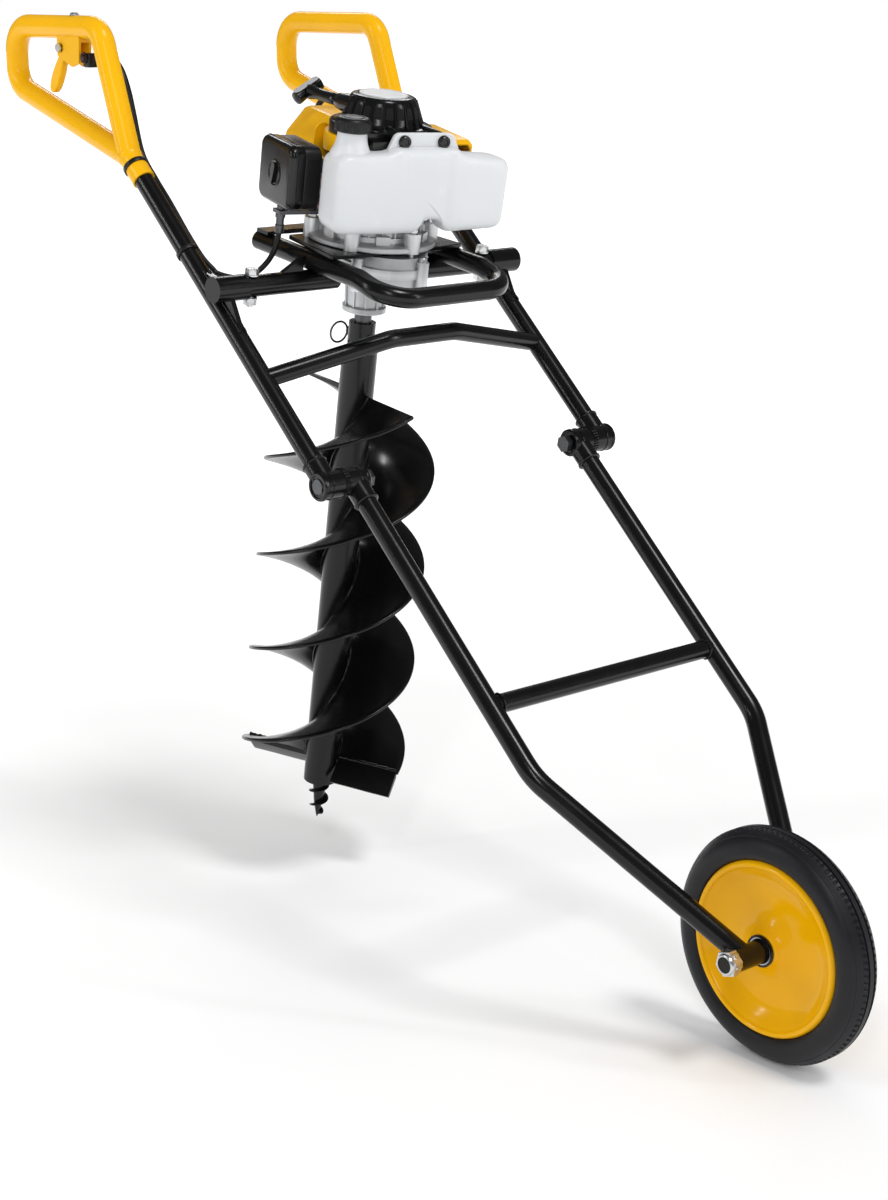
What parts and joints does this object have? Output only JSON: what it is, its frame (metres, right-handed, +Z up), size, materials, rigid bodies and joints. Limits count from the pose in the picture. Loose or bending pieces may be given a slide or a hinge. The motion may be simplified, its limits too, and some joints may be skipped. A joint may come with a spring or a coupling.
{
  "type": "earth auger",
  "caption": "Petrol earth auger with a spiral drill, slung on a folding tube trolley with one front wheel and loop grips, one grip with a throttle trigger.",
  "frame": {"origin": "on the ground under the middle of the object's length and width", "axes": "+X forward towards the wheel, +Y to the operator's left, +Z up"},
  "size_m": [1.1763, 0.436, 1.0137],
  "materials": {
    "yellow": "glossy powder coat",
    "black_steel": "satin black powder coat",
    "zinc": "zinc plated",
    "rim_yellow": "glossy paint on pressed sheet",
    "tyre": "moulded rubber",
    "bearing_black": "moulded",
    "black_plastic": "moulded, slight sheen",
    "cable_black": "smooth sheath",
    "red_plastic": "moulded",
    "cast_alloy": "as cast, bead blasted",
    "steel": "machined",
    "sooty_steel": "heat darkened",
    "plug_white": "glazed",
    "bright_disc": "bright pressed disc",
    "tank_plastic": "translucent blow-moulded",
    "rope": "braided",
    "pale_lever": "moulded",
    "brass": "machined",
    "clear_rubber": "soft, clear"
  },
  "bodies": {
    "frame": {"right_upper_tube": "black_steel", "left_upper_tube": "black_steel", "upper_crossbar": "black_steel", "right_handle": "yellow", "left_handle": "yellow", "pivot_sleeves": "black_steel", "upper_knuckles": "black_steel", "frame_fasteners": "zinc", "trigger_bracket": "yellow", "switch_housing": "black_plastic", "throttle_cable": "cable_black"},
    "throttle_trigger": {"throttle_trigger": "yellow"},
    "stop_button": {"stop_button": "red_plastic"},
    "lower_frame": {"right_lower_tube": "black_steel", "left_lower_tube": "black_steel", "lower_crossbar": "black_steel", "lower_knuckles": "black_steel", "fork_sleeves": "black_steel", "axle_bolt": "zinc"},
    "wheel": {"wheel_rim": "rim_yellow", "tyre": "tyre", "wheel_bearings": "bearing_black"},
    "power_head": {"pivot_stubs": "black_steel", "guard_loop": "black_steel", "mounting_plate": "black_steel", "power_head_bolts": "zinc", "gearbox_case": "cast_alloy", "gearbox_cover": "cast_alloy", "shaft_bearings": "steel", "clutch_housing": "cast_alloy", "clutch_shoes": "steel", "crankcase": "cast_alloy", "crankshaft": "steel", "piston_and_rod": "cast_alloy", "engine_cylinder": "cast_alloy", "spark_plug": "plug_white", "cylinder_shroud": "yellow", "muffler": "sooty_steel", "muffler_cover": "yellow", "starter_housing": "black_plastic", "starter_disc": "bright_disc", "fuel_tank": "tank_plastic", "carburettor": "cast_alloy", "filter_base": "black_plastic", "filter_cover": "black_plastic", "cable_loop": "cable_black", "starter_rope": "rope"},
    "clutch_drum": {"clutch_drum": "steel"},
    "idler_gear": {"idler_gear": "steel"},
    "auger": {"output_shaft": "steel", "coupling_pin": "zinc", "auger_core": "black_steel", "auger_flight": "black_steel", "auger_tip": "black_steel"},
    "starter_grip": {"starter_grip": "black_plastic"},
    "starter_pulley": {"starter_pulley": "black_plastic"},
    "fuel_cap": {"fuel_cap": "black_plastic"},
    "choke_lever": {"choke_lever": "pale_lever"},
    "throttle_cam": {"throttle_cam": "brass"},
    "primer_bulb": {"primer_bulb": "clear_rubber"}
  },
  "joints": [
    {"name": "frame_fold", "type": "hinge", "parent": "frame", "child": "lower_frame", "pos_m": [0.00456, 0, 0.54344], "axis": [0, 1, 0], "range_deg": [0, 50]},
    {"name": "wheel_spin", "type": "hinge", "parent": "lower_frame", "child": "wheel", "pos_m": [0.46609, 0, 0.122], "axis": [0, 1, 0], "continuous": true},
    {"name": "pod_swing", "type": "hinge", "parent": "frame", "child": "power_head", "pos_m": [-0.16457, 0, 0.73194], "axis": [0, 1, 0], "range_deg": [-10, 25], "deforming": ["cable_loop"]},
    {"name": "auger_spin", "type": "hinge", "parent": "power_head", "child": "auger", "pos_m": [-0.1705, 0, 0.73287], "axis": [0.1564, 0, 0.9877], "continuous": true},
    {"name": "idler_spin", "type": "hinge", "parent": "power_head", "child": "idler_gear", "pos_m": [-0.1379, 0, 0.72771], "axis": [0.1564, 0, 0.9877], "continuous": true},
    {"name": "clutch_spin", "type": "hinge", "parent": "power_head", "child": "clutch_drum", "pos_m": [-0.16268, 0, 0.78226], "axis": [0.1564, 0, 0.9877], "continuous": true},
    {"name": "throttle_squeeze", "type": "hinge", "parent": "frame", "child": "throttle_trigger", "pos_m": [-0.46609, -0.1985, 0.97761], "axis": [0, 1, 0], "range_deg": [0, 35], "stiffness_Nm_per_rad": 0.3, "springref_deg": -17.19},
    {"name": "throttle_turn", "type": "hinge", "parent": "power_head", "child": "throttle_cam", "pos_m": [-0.20798, -0.05743, 0.82912], "axis": [0.1564, 0, 0.9877], "range_deg": [-72, 0]},
    {"name": "stop_press", "type": "slide", "parent": "frame", "child": "stop_button", "axis": [0, 1, 0], "range_m": [0, 0.003], "stiffness_N_per_m": 300, "springref_m": -0.002},
    {"name": "starter_pull", "type": "slide", "parent": "power_head", "child": "starter_grip", "axis": [-0.9877, 0, 0.1564], "range_m": [0, 0.25], "stiffness_N_per_m": 40, "springref_m": -0.15, "deforming": ["starter_rope"]},
    {"name": "pulley_turn", "type": "hinge", "parent": "power_head", "child": "starter_pulley", "pos_m": [-0.14137, 0, 0.91678], "axis": [0.1564, 0, 0.9877], "range_deg": [-535, 0]},
    {"name": "cap_turn", "type": "hinge", "parent": "power_head", "child": "fuel_cap", "pos_m": [-0.09269, -0.08003, 0.90806], "axis": [0.1564, 0, 0.9877], "range_deg": [0, 180]},
    {"name": "choke_turn", "type": "hinge", "parent": "power_head", "child": "choke_lever", "pos_m": [-0.18658, -0.06075, 0.86421], "axis": [0.1564, 0, 0.9877], "range_deg": [0, 45]},
    {"name": "primer_press", "type": "slide", "parent": "power_head", "child": "primer_bulb", "axis": [-0.9661, 0.2079, 0.153], "range_m": [0, 0.003], "stiffness_N_per_m": 200, "springref_m": -0.002}
  ],
  "couplings": [
    {"joint": "idler_spin", "follows": "auger_spin", "ratio": -3},
    {"joint": "clutch_spin", "follows": "auger_spin", "ratio": 15},
    {"joint": "throttle_turn", "follows": "throttle_squeeze", "ratio": -2},
    {"joint": "pulley_turn", "follows": "starter_pull", "rad_per_m": -37.037}
  ]
}
